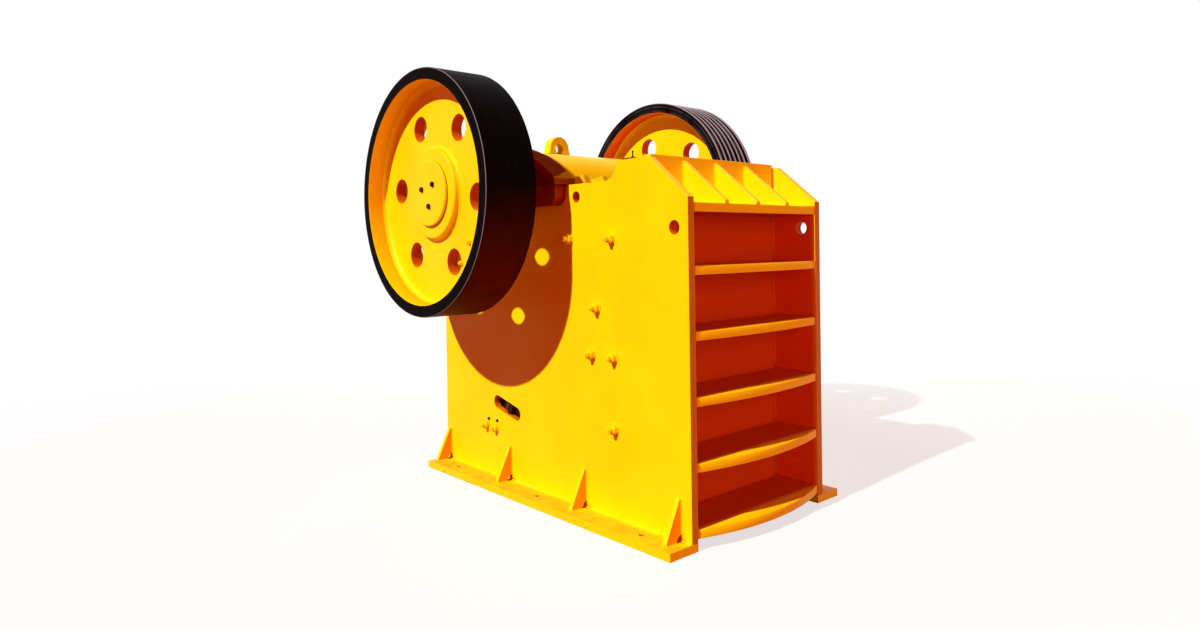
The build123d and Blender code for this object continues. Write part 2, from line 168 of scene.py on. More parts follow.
def cylinder(radius, low, high, sides=48):
    # upright round bar between two heights
    deselect()
    bpy.ops.mesh.primitive_cylinder_add(vertices=sides, radius=radius, depth=high - low,
                                        location=(0, 0, (low + high) / 2))
    return settle(bpy.context.object)


def eased(piece, width, segments=2, angle=35):
    # a bevel on every edge sharper than the angle, left live
    bevel = piece.modifiers.new("edges", "BEVEL")
    bevel.width = width
    bevel.segments = segments
    bevel.limit_method = "ANGLE"
    bevel.angle_limit = math.radians(angle)
    return piece


def bevelled(piece, width, segments=2, angle=35):
    return applied(eased(piece, width, segments, angle))


def smooth(piece, angle=35):
    pick(piece)
    bpy.ops.object.shade_smooth_by_angle(angle=math.radians(angle))
    return piece


def evened(piece):
    # broad flat faces keep their shading flat beside the rounded edges
    weigh = piece.modifiers.new("even", "WEIGHTED_NORMAL")
    weigh.keep_sharp = True
    return applied(piece)


def dress(piece, body, material):
    piece.data.materials.clear()
    piece.data.materials.append(material)
    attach(piece, body)
    return piece


# camera, from the fit to the photograph
def makeCamera():
    data = bpy.data.cameras.new("photoCamera")
    camera = bpy.data.objects.new("photoCamera", data)
    bpy.context.scene.collection.objects.link(camera)
    data.sensor_fit = "HORIZONTAL"
    data.sensor_width = cameraFit["sensor"]
    data.lens = cameraFit["focalPixels"] * cameraFit["sensor"] / photo["width"]
    data.shift_x = (photo["width"] / 2 - cameraFit["axisPixel"][0]) / photo["width"]
    data.shift_y = (cameraFit["axisPixel"][1] - photo["height"] / 2) / photo["width"]
    data.clip_start, data.clip_end = cameraFit["clip"]
    turn = Matrix.Rotation(math.radians(cameraFit["azimuth"]), 4, "Z")
    turn @= Matrix.Rotation(math.radians(90 - cameraFit["elevation"]), 4, "X")
    turn @= Matrix.Rotation(math.radians(cameraFit["roll"]), 4, "Z")
    camera.matrix_world = Matrix.Translation(cameraFit["place"]) @ turn
    bpy.context.scene.camera = camera


# floor, backdrop colour and lamps
studio = {
    "floorSize": 60.0,
    "floorTone": "#ffffff",
    "floorGlow": 0.7,
    "floorClear": (2.0, 7.0),
    "bounceTone": "#a01c04",
    "skyTone": "#ff4c18",
    "skyLevel": 0.26,
    "keyStrength": 3.8,
    "keyFrom": (-1.0, 0.0, 0.85),
    "keySoftness": 1.2,
    "lamps": [
        ("frontFill", (-1.0, -8.0, 2.2), 5.0, 225.0, "#ffc080"),
        ("backFill", (5.5, 6.0, 2.4), 5.0, 330.0, "#ffe6cc"),
    ],
    "aim": (0.0, 0.0, 1.1),
}


def seenBy(tree, *rays):
    # 1 for rays of any of these kinds
    path = put(tree, "LightPath")
    seen = path.outputs[rays[0]]
    for ray in rays[1:]:
        seen = put(tree, "Math", links={0: path.outputs[ray], 1: seen}, operation="MAXIMUM")
    return seen


def makeFloor():
    # pale paper for the camera, lit from within so that only a soft shadow stays near the machine,
    # and plain white further out; warm ground for the bounce
    deselect()
    bpy.ops.mesh.primitive_plane_add(size=studio["floorSize"], location=(0, 0, 0))
    floor = bpy.context.object
    floor.name = "studioFloor"
    paper = bpy.data.materials.new("matt studio paper")
    paper.use_nodes = True
    tree = paper.node_tree
    tree.nodes.clear()
    seen = seenBy(tree, "Is Camera Ray", "Is Glossy Ray")
    colour = put(tree, "Mix", {6: tone(studio["bounceTone"]), 7: tone(studio["floorTone"])}, {0: seen},
                 data_type="RGBA")
    plain = put(tree, "BsdfDiffuse", links={"Color": colour.outputs[2]})
    glow = put(tree, "Emission", {"Color": (1, 1, 1, 1), "Strength": 1.0})
    where = put(tree, "TexCoord").outputs["Object"]
    away = put(tree, "VectorMath", links={0: where}, operation="LENGTH").outputs["Value"]
    near, far = studio["floorClear"]
    rise = put(tree, "MapRange", span(near, far, studio["floorGlow"]), {"Value": away})
    share = put(tree, "Math", links={0: seen, 1: rise}, operation="MULTIPLY")
    mixed = put(tree, "MixShader", links={0: share, 1: plain, 2: glow})
    put(tree, "OutputMaterial", links={"Surface": mixed})
    floor.data.materials.append(paper)


def makeWorld():
    # white to the camera and in reflections, a soft warm sky to everything else
    world = bpy.data.worlds.new("softRoom")
    bpy.context.scene.world = world
    world.use_nodes = True
    tree = world.node_tree
    tree.nodes.clear()
    seen = seenBy(tree, "Is Camera Ray", "Is Glossy Ray", "Is Transmission Ray")
    level = put(tree, "MapRange", span(0.0, 1.0, studio["skyLevel"]), {"Value": seen})
    colour = put(tree, "Mix", {6: tone(studio["skyTone"]), 7: (1, 1, 1, 1)}, {0: seen}, data_type="RGBA")
    glow = put(tree, "Background", links={"Color": colour.outputs[2], "Strength": level})
    put(tree, "OutputWorld", links={"Surface": glow})


def makeLamps():
    key = bpy.data.lights.new("keyLamp", "SUN")
    key.energy = studio["keyStrength"]
    key.angle = math.radians(studio["keySoftness"])
    lamp = bpy.data.objects.new("keyLamp", key)
    bpy.context.scene.collection.objects.link(lamp)
    lamp.rotation_euler = turnTo(studio["keyFrom"])
    for name, place, size, energy, colour in studio["lamps"]:
        data = bpy.data.lights.new(name, "AREA")
        data.shape = "DISK"
        data.size = size
        data.energy = energy
        data.color = tone(colour)[:3]
        lamp = bpy.data.objects.new(name, data)
        bpy.context.scene.collection.objects.link(lamp)
        lamp.location = place
        lamp.rotation_euler = turnTo(Vector(place) - Vector(studio["aim"]))


makeFloor()
makeWorld()
makeLamps()
bpy.context.scene.view_settings.view_transform = "Standard"
makeCamera()
print("camera and studio ready")


# finishes
def newFinish(name):
    # an empty material, and the coordinates that its patterns lie on
    material = bpy.data.materials.new(name)
    material.use_nodes = True
    tree = material.node_tree
    tree.nodes.clear()
    return material, tree, put(tree, "TexCoord").outputs["Object"]


def allOf(tree, *shares):
    # the share where all of these hold
    whole = shares[0]
    for share in shares[1:]:
        whole = put(tree, "Math", links={0: whole, 1: share}, operation="MULTIPLY")
    return whole


def layered(tree, base, *layers):
    # layers are (share, tone), each over the ones before; tones are hex colours or sockets
    for share, over in layers:
        mix = put(tree, "Mix", links={0: share}, data_type="RGBA")
        for socket, colour in ((6, base), (7, over)):
            if isinstance(colour, str):
                mix.inputs[socket].default_value = tone(colour)
            else:
                tree.links.new(colour, mix.inputs[socket])
        base = mix.outputs[2]
    return base


def surface(tree, look, colour, roughness, relief=None):
    # relief is a height pattern; gloss in the look is the specular level, half for plain paint
    coat = put(tree, "BsdfPrincipled",
               {"Metallic": look.get("metallic", 0.0), "Specular IOR Level": look["gloss"]},
               {"Base Color": colour, "Roughness": roughness})
    if relief is not None:
        bump = put(tree, "Bump", {"Strength": 1.0, "Distance": look["reliefMm"] / 1000}, {"Height": relief})
        tree.links.new(bump.outputs[0], coat.inputs["Normal"])
    put(tree, "OutputMaterial", links={"Surface": coat})


cornerSamples = 8

# patterns are (size in mm, detail), and ranges are (from, to) or (from, to, lowest, highest)
enamelLook = {
    "full": "#ffe000",
    "thin": "#ffd600",
    "patches": (340, 3),
    "thinFrom": (0.35, 0.7),
    # painted shade: corners and recesses turn to the red-orange tone below where the corner-shade reading is
    # low
    "paintedShade": "#b02000",
    "recessReach": 0.07,
    "recess": (0.5, 0.25),
    "recessTop": 2.6,  # metres up, above which no shade is painted
    "recessAlong": (-2.0, 2.0),  # from front to back
    "recessEnds": (0.004, 0.03, 0.05),  # how softly that ends: ahead, behind, and before the back
    # open upward faces take this tone in patches
    "topTone": "#f2a41c",
    "topTonePatches": (90, 3),
    "topToneFrom": (0.25, 0.6, 0.4),
    "topToneFacing": (0.7, 1.0, 0.0, 0.8),
    "topToneOpen": (0.6, 0.85),
    "primer": "#5b2413",
    "chips": (26, 6),
    "chipFrom": (0.66, 0.7),
    "chipHeight": 0.05,
    "satin": (0.3, 0.7, 0.38, 0.5),
    "matt": (0.0, 1.0, 0.38, 0.85),
    "peel": (8, 2),
    "reliefMm": 0.05,
    "gloss": 0.12,
}
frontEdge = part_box("side_plate_left")[0].y
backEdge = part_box("side_plate_left")[1].y
# painted shade: the bays, up to the top shelf, take a far-reaching red-orange corner shade
bayShadeLook = {**enamelLook, "paintedShade": "#d24806", "recessReach": 0.42, "recess": (0.94, 0.78), "recessTop": 1.66,
           "recessAlong": (frontEdge, backEdge)}
# painted shade: the plates' inner faces take an orange version of the bay shade
innerShadeLook = {**bayShadeLook, "paintedShade": "#ff6410"}
# painted shade: cut edges facing front, back or down take a darker ochre coat
cutEdgeShadeLook = {**enamelLook, "full": "#d08a00", "thin": "#c47e00"}
# painted shade: the gussets' front and back faces take a deeper orange coat
gussetShadeLook = {**enamelLook, "full": "#ffa400", "thin": "#f89a00"}
# painted shade: hole walls and the seams in the bays take an orange coat
recessShadeLook = {**enamelLook, "full": "#e87400", "thin": "#d45c00"}
# painted highlight: the barrel's and lifting eye's open upward faces take a pale yellow tone
barrelHighlightLook = {**enamelLook, "topTone": "#fff05a"}
# painted shade: the bearing housings take a darker ochre coat and a far-reaching red-brown corner shade
housingShadeLook = {**enamelLook, "full": "#d08a00", "thin": "#c27c00", "paintedShade": "#861800", "recessReach": 0.42,
               "recess": (0.92, 0.6), "gloss": 0.05}
# painted shadow: the bearing cap beside the flywheel takes a dark brown coat where the flywheel's shadow
# falls
capShadowLook = {**housingShadeLook, "full": "#905600", "thin": "#875000", "topTone": "#a46a0a", "gloss": 0.0}


def yellowEnamel(name, look):
    # alkyd machine enamel, sprayed on rolled plate and castings: bright and smooth with a faint orange peel,
    # turned red-orange deep inside corners as painted shade, a set tone in patches on open upward faces,
    # chipped to the primer along the foot; the peel is drawn coarser than its real 2 mm so that it shows
    material, tree, where = newFinish(name)
    patches = put(tree, "TexNoise", clouds(*look["patches"]), {"Vector": where})
    topTonePatches = put(tree, "TexNoise", clouds(*look["topTonePatches"]), {"Vector": where})
    chips = put(tree, "TexNoise", clouds(*look["chips"]), {"Vector": where})
    peel = put(tree, "TexNoise", clouds(*look["peel"]), {"Vector": where})
    clear = put(tree, "AmbientOcclusion", {"Distance": look["recessReach"]},
                samples=cornerSamples).outputs["AO"]
    place = put(tree, "SeparateXYZ", links={0: where}).outputs
    normal = put(tree, "SeparateXYZ", links={0: put(tree, "NewGeometry").outputs["Normal"]}).outputs
    thin = put(tree, "MapRange", span(*look["thinFrom"]), {"Value": patches})
    first, last = look["recessAlong"]
    ahead, behind, inside = look["recessEnds"]
    # painted shade: the share of red-orange that corners and recesses take, within the set stretch and below
    # the set height
    paintedShadeShare = allOf(
        tree,
        put(tree, "MapRange", span(*look["recess"]), {"Value": clear}),
        put(tree, "MapRange", span(first - ahead, first + behind), {"Value": place[1]}),
        put(tree, "MapRange", span(last, last - inside), {"Value": place[1]}),
        put(tree, "Math", {1: look["recessTop"]}, {0: place[2]}, operation="LESS_THAN"),
    )
    # the share of open upward faces that takes the top tone
    onOpenTops = allOf(
        tree,
        put(tree, "MapRange", span(*look["topToneFacing"]), {"Value": normal[2]}),
        put(tree, "MapRange", span(*look["topToneOpen"]), {"Value": clear}),
        put(tree, "MapRange", span(*look["topToneFrom"]), {"Value": topTonePatches}),
    )
    chipped = allOf(
        tree,
        put(tree, "MapRange", span(*look["chipFrom"]), {"Value": chips}),
        put(tree, "MapRange", span(look["chipHeight"], 0.0), {"Value": place[2]}),
    )
    colour = layered(tree, look["full"], (thin, look["thin"]), (paintedShadeShare, look["paintedShade"]),
                     (onOpenTops, look["topTone"]), (chipped, look["primer"]))
    satin = put(tree, "MapRange", span(*look["satin"]), {"Value": patches})
    matt = put(tree, "MapRange", span(*look["matt"]), {"Value": paintedShadeShare})
    surface(tree, look, colour, put(tree, "Math", links={0: satin, 1: matt}, operation="MAXIMUM"), peel)
    return material


wheelLook = {
    "black": "#060102",
    "patches": (120, 4),
    "worn": "#180b0c",
    "streaks": (9, 4),
    "wear": (0.45, 0.75),
    "wearPatches": (0.35, 0.6),
    # painted reflection: a dark red tone low on the running face
    "lowReflection": "#521206",
    "lowReflectionFrom": (1.80, 1.20),  # metres up
    "lowReflectionPatches": (0.3, 0.6, 0.6),
    "runFace": 1.090,  # where the running face ends, from the middle of the machine
    # painted highlight: a pale grey along the rim's outer corner, and on the sheave's ridges
    "edgeHighlight": "#7d7379",
    "edgeRadius": 0.7085,
    "edgeFace": 1.0935,
    # painted shade: the rim's inside is drawn a deeper yellow than the web, and turns red-orange in its
    # corners
    "inside": "#ffca00",
    "insideRadius": 0.6455,
    "shade": "#c02c00",
    "shadeReach": 0.3,
    "shadeFrom": (0.64, 0.34),
    "axis": (0.458, 1.785),
    "satin": (0.3, 0.7, 0.4, 0.5),
    "reliefMm": 0.12,
    "gloss": 0.01,
}
# painted shade: the sheave's inside is drawn orange, and turns red-orange further into its corners
beltLook = {**wheelLook, "worn": "#5c555c", "edgeHighlight": "#958e97", "edgeFace": 0.0, "streaks": (5, 4),
            "wear": (0.5, 0.62), "inside": "#ffa400", "shade": "#dc2c00", "shadeFrom": (0.92, 0.5)}


def wheelEnamel(name, look):
    # black bitumen enamel brushed round a turned cast rim: dark and soft in its gloss, with fine rings,
    # a painted highlight along the outer corner and on the sheave's ridges, a painted dark red reflection
    # low on the running face, and the yellow of the web carried up the inside of the rim, deeper there and
    # red-orange in its corners as painted shade
    material, tree, where = newFinish(name)
    away = put(tree, "VectorMath", {1: (0, *look["axis"])}, {0: where}, operation="SUBTRACT")
    flat = put(tree, "VectorMath", {1: (0, 1, 1)}, {0: away}, operation="MULTIPLY")
    radius = put(tree, "VectorMath", links={0: flat}, operation="LENGTH").outputs["Value"]
    place = put(tree, "SeparateXYZ", links={0: where}).outputs
    out = put(tree, "Math", links={0: place[0]}, operation="ABSOLUTE")
    ring = put(tree, "CombineXYZ", links={0: place[0], 1: radius})
    rings = put(tree, "TexNoise", clouds(*look["streaks"]), {"Vector": ring})
    patches = put(tree, "TexNoise", clouds(*look["patches"]), {"Vector": where})
    worn = allOf(
        tree,
        put(tree, "MapRange", span(*look["wear"]), {"Value": rings}),
        put(tree, "MapRange", span(*look["wearPatches"]), {"Value": patches}),
    )
    # painted reflection: the share of dark red low on the running face
    reflectedLow = allOf(
        tree,
        put(tree, "MapRange", span(*look["lowReflectionFrom"]), {"Value": place[2]}),
        put(tree, "MapRange", span(*look["lowReflectionPatches"]), {"Value": patches}),
        put(tree, "Math", {1: look["runFace"]}, {0: out}, operation="LESS_THAN"),
    )
    # painted highlight: the share of pale grey on the outer corner and ridges
    highlightedEdge = allOf(
        tree,
        put(tree, "Math", {1: look["edgeFace"]}, {0: out}, operation="GREATER_THAN"),
        put(tree, "Math", {1: look["edgeRadius"]}, {0: radius}, operation="GREATER_THAN"),
    )
    black = layered(tree, look["black"], (worn, look["worn"]), (reflectedLow, look["lowReflection"]),
                    (highlightedEdge, look["edgeHighlight"]))
    clear = put(tree, "AmbientOcclusion", {"Distance": look["shadeReach"]},
                samples=cornerSamples).outputs["AO"]
    shaded = put(tree, "MapRange", span(*look["shadeFrom"]), {"Value": clear})
    inside = put(tree, "Math", {1: look["insideRadius"]}, {0: radius}, operation="LESS_THAN")
    colour = layered(tree, black, (inside, layered(tree, look["inside"], (shaded, look["shade"]))))
    surface(tree, look, colour, put(tree, "MapRange", span(*look["satin"]), {"Value": patches}), rings)
    return material


steelLook = {
    "bright": "#8e8f92",
    "oiled": "#5e5c59",
    "oil": (70, 3),
    "oilFrom": (0.4, 0.65),
    "toolMarks": (1.6, 2),
    "drawnOut": (1, 0.02, 0.02),  # marks run round the shaft
    "satin": (0.3, 0.7, 0.26, 0.42),
    "reliefMm": 0.02,
    "metallic": 1.0,
    "gloss": 0.5,
}


def turnedSteel(name, look):
    # turned and oiled steel: fine rings from the lathe, warm where oil has darkened it
    material, tree, where = newFinish(name)
    lathe = put(tree, "Mapping", {"Scale": look["drawnOut"]}, {"Vector": where})
    rings = put(tree, "TexNoise", clouds(*look["toolMarks"]), {"Vector": lathe})
    oil = put(tree, "TexNoise", clouds(*look["oil"]), {"Vector": where})
    colour = layered(tree, look["bright"],
                     (put(tree, "MapRange", span(*look["oilFrom"]), {"Value": oil}), look["oiled"]))
    surface(tree, look, colour, put(tree, "MapRange", span(*look["satin"]), {"Value": oil}), rings)
    return material


castLook = {
    "skin": "#2a1010",
    "rust": "#52200f",
    "patches": (110, 5),
    "rustFrom": (0.48, 0.68, 0.0, 0.8),
    "grain": (3.5, 5),
    "satin": (0.3, 0.7, 0.62, 0.82),
    "reliefMm": 0.35,
    "gloss": 0.06,
}
plateLook = {
    **castLook,
    "skin": "#4b4743",
    "rust": "#6d4128",
    "spray": "#fcc800",
    "sprayFrom": (1.80, 1.84),  # metres up
    "drift": (60, 4),
    "driftHeight": 0.12,
}


def castSteel(name, look):
    # sand-cast steel as it left the mould: dull grain under a bloom of brown rust,
    # and on the jaw plates a drift of yellow overspray at the top
    material, tree, where = newFinish(name)
    grain = put(tree, "TexNoise", clouds(*look["grain"]), {"Vector": where})
    patches = put(tree, "TexNoise", clouds(*look["patches"]), {"Vector": where})
    colour = layered(tree, look["skin"],
                     (put(tree, "MapRange", span(*look["rustFrom"]), {"Value": patches}), look["rust"]))
    if "spray" in look:
        height = put(tree, "SeparateXYZ", links={0: where}).outputs[2]
        clumps = put(tree, "TexNoise", clouds(*look["drift"]), {"Vector": where})
        drift = put(tree, "Math", {1: look["driftHeight"]}, {0: clumps}, operation="MULTIPLY")
        edge = put(tree, "Math", links={0: height, 1: drift}, operation="ADD")
        colour = layered(tree, colour,
                         (put(tree, "MapRange", span(*look["sprayFrom"]), {"Value": edge}), look["spray"]))
    surface(tree, look, colour, put(tree, "MapRange", span(*look["satin"]), {"Value": patches}), grain)
    return material


darkLook = {
    "coat": "#1a1008",
    "edge": "#3a2c1c",
    "patches": (25, 4),
    "edgeFrom": (0.55, 0.75),
    "satin": (0.3, 0.7, 0.5, 0.65),
    "gloss": 0.2,
}


def blackPaint(name, look):
    # dipped black paint on spring steel: even, half matt
    material, tree, where = newFinish(name)
    patches = put(tree, "TexNoise", clouds(*look["patches"]), {"Vector": where})
    colour = layered(tree, look["coat"],
                     (put(tree, "MapRange", span(*look["edgeFrom"]), {"Value": patches}), look["edge"]))
    surface(tree, look, colour, put(tree, "MapRange", span(*look["satin"]), {"Value": patches}))
    return material


enamel = yellowEnamel("yellow machine enamel", enamelLook)
bayShadeEnamel = yellowEnamel("yellow machine enamel with painted shade in the bays", bayShadeLook)
innerShadeEnamel = yellowEnamel("yellow machine enamel with painted shade inside the plates", innerShadeLook)
cutEdgeShadeEnamel = yellowEnamel("yellow machine enamel with painted shade on cut edges", cutEdgeShadeLook)
gussetShadeEnamel = yellowEnamel("yellow machine enamel with painted shade on gusset faces", gussetShadeLook)
recessShadeEnamel = yellowEnamel("yellow machine enamel, one misted pass", recessShadeLook)
barrelHighlightEnamel = yellowEnamel("yellow machine enamel on the barrel", barrelHighlightLook)
housingShadeEnamel = yellowEnamel("yellow machine enamel on cast housings", housingShadeLook)
capShadowEnamel = yellowEnamel("yellow machine enamel, darkened as painted flywheel shadow", capShadowLook)
rimEnamel = wheelEnamel("black brushed enamel", wheelLook)
beltEnamel = wheelEnamel("black enamel worn by belts", beltLook)
turned = turnedSteel("turned oiled steel", steelLook)
asCast = castSteel("sand-cast steel", castLook)
jawCast = castSteel("cast manganese steel", plateLook)
dipped = blackPaint("dipped black paint", darkLook)
finishOf = {
    "yellow_enamel": enamel,
    "wheel_enamel": rimEnamel,
    "machined_steel": turned,
    "spring_steel": dipped,
    "manganese_steel": jawCast,
    "cast_steel": asCast,
}
print("finishes ready")


# every solid has its edges eased
facets = {
    "gap": 0.00002,  # metres between corners that are one
    "flat": 0.4,  # degrees between the facets of one face
}
plateEdges = {
    "width": 0.0025,
    "segments": 2,
    "angle": 40,
}


def easePlates():
    for name, node in nodes.items():
        node.data.materials.clear()
        node.data.materials.append(finishOf[slotOf[name]])
        weld = node.modifiers.new("weld", "WELD")
        weld.merge_threshold = facets["gap"]
        eased(node, **plateEdges)


easePlates()
print("plates eased")


# plates, castings and round pieces are worked again from their solids: bevel width and segments
plateEdge = (plateEdges["width"], plateEdges["segments"])
castEdges = {
    **dict.fromkeys((f"{piece}_{side}" for piece in ("side_plate", "base_flange", "base_gussets")
                     for side in ("left", "right")), plateEdge),
    **dict.fromkeys(("front_wall", "rear_wall", "wedge_bracket"), plateEdge),
    **dict.fromkeys(("bearing_cap_left", "bearing_cap_right"), (0.006, 3)),
    **dict.fromkeys(("bearing_seat_left", "bearing_seat_right"), (0.005, 3)),
    "pitman": (0.006, 3),
    "lifting_eye": (0.005, 3),
    "hub_caps": (0.007, 3),
    "eccentric_shaft": (0.004, 2),
    "swing_jaw_plate": (0.004, 2),
    "fixed_jaw_plate": (0.004, 2),
    "toggle_block": (0.005, 2),
}


def reworked(nodeName, width, segments):
    piece = copyOf(nodes[nodeName])
    piece.modifiers.clear()
    piece.name = piece.data.name = nodeName + "Cast"
    chosen(piece, "VERT", lambda item: True)
    bpy.ops.mesh.remove_doubles(threshold=facets["gap"])
    bpy.ops.mesh.dissolve_limited(angle_limit=math.radians(facets["flat"]))
    done()
    bevelled(piece, width, segments)
    evened(smooth(piece))
    dress(piece, bodyOf[nodeName], finishOf[slotOf[nodeName]])
    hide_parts(nodeName)
    return piece


def recoat(piece, *coats):
    # coats are (material, test), for the faces that pass the test
    for index, (coat, test) in enumerate(coats, 1):
        piece.data.materials.append(coat)
        for face in piece.data.polygons:
            if test(face):
                face.material_index = index


# holes are (distance behind the front edge, height, reach)
plateHoles = {
    "front": (0.091, 1.554, 0.035),
    "rear": (0.835, 1.739, 0.031),
    "slot": (1.539, 0.477, 0.144),
}
# limits on a face's normal
facing = {
    "inner": 0.9,  # at least this far towards the chamber
    "cut": 0.3,  # at most this far along the shaft, or upwards
    "gusset": 0.95,  # at least this far to the front or back
}
holeSlack = 0.001
bayNodes = ("front_wall", "rear_wall", "rear_shelves", *(f"front_shelf_{index}" for index in range(1, 7)))


def inHole(point):
    return any(math.hypot(point.y - frontEdge - back, point.z - height) < reach + holeSlack
               for back, height, reach in plateHoles.values())


def coatPlate(piece, side):
    # painted shade: red-orange on the inner face, a darker ochre on the cut edges that face front, back or
    # down, and orange on the holes' walls
    def isCut(face):
        return abs(face.normal.x) < facing["cut"]

    recoat(
        piece,
        (innerShadeEnamel, lambda face: face.normal.x * side < -facing["inner"]),
        (cutEdgeShadeEnamel, lambda face: isCut(face) and face.normal.z < facing["cut"] and not inHole(face.center)),
        (recessShadeEnamel, lambda face: isCut(face) and inHole(face.center)),
    )


def shadeInBays():
    # painted shade: the bays between the side plates turn red-orange, and the gussets' front and back faces
    # take a deeper orange
    for name in bayNodes:
        (remade[name] if name in castEdges else nodes[name]).data.materials[0] = bayShadeEnamel
    for name, side in (("left", -1), ("right", 1)):
        coatPlate(remade["side_plate_" + name], side)
        recoat(remade["base_gussets_" + name],
               (gussetShadeEnamel, lambda face: abs(face.normal.y) > facing["gusset"]))


# the rounded edge of the trunnions' ends, and where behind its middle the painted highlight starts
trunnion = {"rim": 0.006, "flat": 0.97, "behind": 0.012}


def castHousings():
    # bearing housings take a darker ochre coat as painted shade, the cap by the flywheel a dark brown one as
    # painted shadow of the flywheel, the barrel a painted highlight on its top, and the trunnions' rims one
    # on their rear half
    for name in ("bearing_cap_right", "bearing_seat_left", "bearing_seat_right"):
        remade[name].data.materials[0] = housingShadeEnamel
    remade["bearing_cap_left"].data.materials[0] = capShadowEnamel
    remade["pitman"].data.materials[0] = barrelHighlightEnamel
    remade["lifting_eye"].data.materials[0] = barrelHighlightEnamel
    block = remade["toggle_block"]
    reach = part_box("toggle_block")[1].x

    def onRim(face):
        return abs(face.center.x) > reach - trunnion["rim"] and abs(face.normal.x) < trunnion["flat"]

    rims = [face.center.y for face in block.data.polygons if onRim(face)]
    behind = sum(rims) / len(rims) + trunnion["behind"]
    # painted highlight: the rear half of each trunnion's rim takes the bright yellow enamel
    recoat(block, (enamel, lambda face: onRim(face) and face.center.y > behind))


remade = {}
for nodeName, (width, segments) in castEdges.items():
    remade[nodeName] = reworked(nodeName, width, segments)
shadeInBays()
castHousings()
print("castings reworked")


# wheels, drawn as an outline and turned about the shaft
wheel = {
    "rimThickness": 0.070,
    "webRecess": 0.122,
    "webThickness": 0.066,
    "hubRadius": 0.262,
    "hubRecess": 0.085,
    "innerHubRadius": 0.180,
    "bore": 0.10005,
    "rimFillet": 0.030,
    "hubFillet": 0.024,
    "holes": 6,
    "holeRadius": 0.077,
    "holeCircle": 0.436,
    "flywheelTurn": 5.1,
    "sheaveTurn": 9.2,
    "grooves": 6,
    "groovePitch": 0.049,
    "grooveTop": 0.038,
    "grooveBottom": 0.020,
    "grooveDepth": 0.028,
    "hubRound": 0.010,  # the hub's outer corner
    "webEdge": 0.004,
    "rimEdge": 0.006,
    "grooveEdge": 0.003,
    "fold": 40,  # degrees, past which an edge is kept sharp
    "steps": 180,
    "pointGap": 0.00001,
    "seamGap": 0.00005,
    "holeSides": 64,
    "holeWall": 0.5,
    "drill": 0.12,
    "seed": 0.01,
}


def arc(centre, radius, start, end, count=6):
    # points (depth, radius) round a fillet
    points = []
    for index in range(count + 1):
        angle = math.radians(start + (end - start) * index / count)
        points.append((centre[0] + radius * math.cos(angle), centre[1] + radius * math.sin(angle)))
    return points


def turnedRing(outline, face, side, centre):
    # outline is (depth behind the wheel's face, radius); it is drawn by extruding and spun about the shaft
    points = [Vector((side * (face - depth), centre[0], centre[1] + radius)) for depth, radius in outline]
    deselect()
    bpy.ops.mesh.primitive_plane_add(size=wheel["seed"])
    piece = bpy.context.object
    chosen(piece, "VERT", lambda item: item.index > 0)
    bpy.ops.mesh.delete(type="VERT")
    bpy.ops.mesh.select_all(action="SELECT")
    bpy.ops.object.mode_set(mode="OBJECT")
    start = points[0] - piece.data.vertices[0].co
    bpy.ops.object.mode_set(mode="EDIT")
    bpy.ops.transform.translate(value=start)
    for before, after in zip(points, points[1:] + points[:1]):
        bpy.ops.mesh.extrude_region_move(TRANSFORM_OT_translate={"value": after - before})
    bpy.ops.mesh.select_all(action="SELECT")
    bpy.ops.mesh.remove_doubles(threshold=wheel["pointGap"])
    bpy.ops.mesh.select_all(action="SELECT")
    bpy.ops.mesh.spin(steps=wheel["steps"], angle=2 * math.pi, center=(0, *centre), axis=(1, 0, 0))
    bpy.ops.mesh.select_all(action="SELECT")
    bpy.ops.mesh.remove_doubles(threshold=wheel["seamGap"])
    bpy.ops.mesh.normals_make_consistent(inside=False)
    return done()


def cutAway(piece, cutters):
    cutter = joined("cutter", cutters)
    cut = piece.modifiers.new("cut", "BOOLEAN")
    cut.operation = "DIFFERENCE"
    cut.object = cutter
    cut.solver = "EXACT"
    applied(piece)
    bpy.data.objects.remove(cutter)


def rimOf(nodeName):
    # the wheel's centre in y and z, its outer face and its radius
    low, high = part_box(nodeName)
    centre = ((low.y + high.y) / 2, (low.z + high.z) / 2)
    return centre, max(abs(low.x), abs(high.x)), (high.z - low.z) / 2


def finishWheel(piece, name, nodeName, edge, segments, material):
    bevelled(piece, edge, segments, wheel["fold"])
    evened(smooth(piece, wheel["fold"]))
    piece.name = piece.data.name = name
    dress(piece, bodyOf[nodeName], material)
    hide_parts(nodeName)


